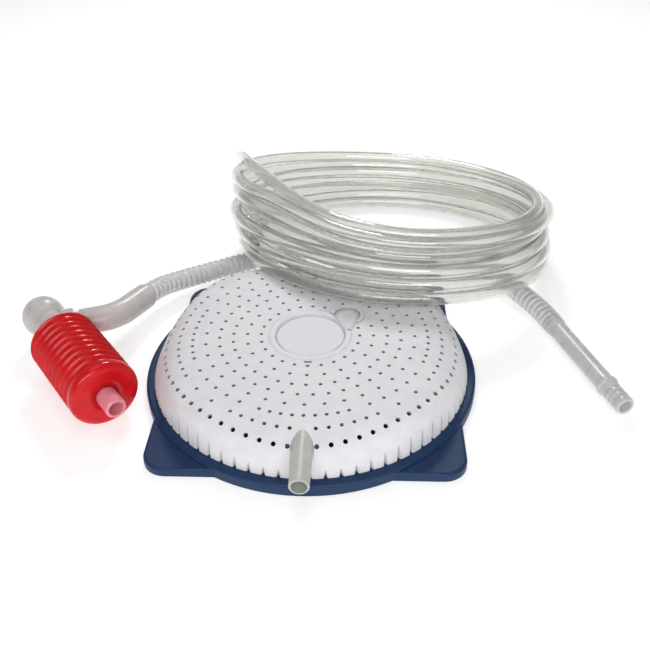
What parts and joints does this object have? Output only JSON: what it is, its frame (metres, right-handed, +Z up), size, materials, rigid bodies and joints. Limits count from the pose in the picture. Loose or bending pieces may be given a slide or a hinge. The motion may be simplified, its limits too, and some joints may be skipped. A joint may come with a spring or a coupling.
{
  "type": "pool cover siphon drain set",
  "caption": "Perforated round strainer on a square weighted base, a coil of clear hose lying on it, and a red bellows priming pump with a corrugated discharge hose.",
  "frame": {"origin": "centre of the base plate's underside, on the floor", "axes": "+Z up, -Y towards the outlet pipe (the front), +X to the right seen from the front"},
  "size_m": [0.5601, 0.541, 0.1073],
  "materials": {
    "navy_plastic": "moulded, lightly textured",
    "ballast_steel": "coated",
    "screw_steel": "zinc plated",
    "white_plastic": "moulded, semi-gloss",
    "badge_plastic": "satin",
    "grey_pipe": "satin",
    "black_rubber": "matte",
    "red_vinyl": "soft vinyl, glossy",
    "pink_clear_vinyl": "translucent",
    "natural_plastic": "satin",
    "smoky_clear": "translucent",
    "smoky_hose": "translucent, corrugated",
    "clear_hose": "clear vinyl"
  },
  "bodies": {
    "base": {"base_plate": "navy_plastic", "ballast_ring": "ballast_steel", "ballast_screws": "screw_steel", "bellows": "red_vinyl", "neck_nut": "natural_plastic", "valve_housing": "smoky_clear", "outlet_valve_seat": "natural_plastic", "outlet_retainer": "natural_plastic", "hose_cuff": "smoky_clear", "discharge_hose": "smoky_hose", "hose_end_fitting": "smoky_clear"},
    "cover": {"strainer_cover": "white_plastic", "badge_disc": "badge_plastic", "outlet_pipe": "grey_pipe", "pipe_seal": "black_rubber", "pipe_clip": "screw_steel", "suction_elbow": "grey_pipe", "suction_foot": "grey_pipe", "hose_coil": "clear_hose", "hose_tail": "clear_hose"},
    "bellows_front": {"intake_spigot": "pink_clear_vinyl", "intake_valve_seat": "natural_plastic", "intake_retainer": "natural_plastic"},
    "intake_valve": {"intake_valve_disc": "black_rubber"},
    "outlet_valve": {"outlet_valve_disc": "black_rubber"}
  },
  "joints": [
    {"name": "cover_lift", "type": "slide", "parent": "base", "child": "cover", "axis": [0, 0, 1], "range_m": [0, 0.06]},
    {"name": "bellows_squeeze", "type": "slide", "parent": "base", "child": "bellows_front", "axis": [-0.6225, 0.7826, 0], "range_m": [0, 0.045], "stiffness_N_per_m": 400, "deforming": ["bellows"]},
    {"name": "intake_valve_lift", "type": "slide", "parent": "bellows_front", "child": "intake_valve", "axis": [-0.6225, 0.7826, 0], "range_m": [0, 0.003], "stiffness_N_per_m": 20},
    {"name": "outlet_valve_lift", "type": "slide", "parent": "base", "child": "outlet_valve", "axis": [0.9397, 0.342, 0], "range_m": [0, 0.003], "stiffness_N_per_m": 20}
  ]
}
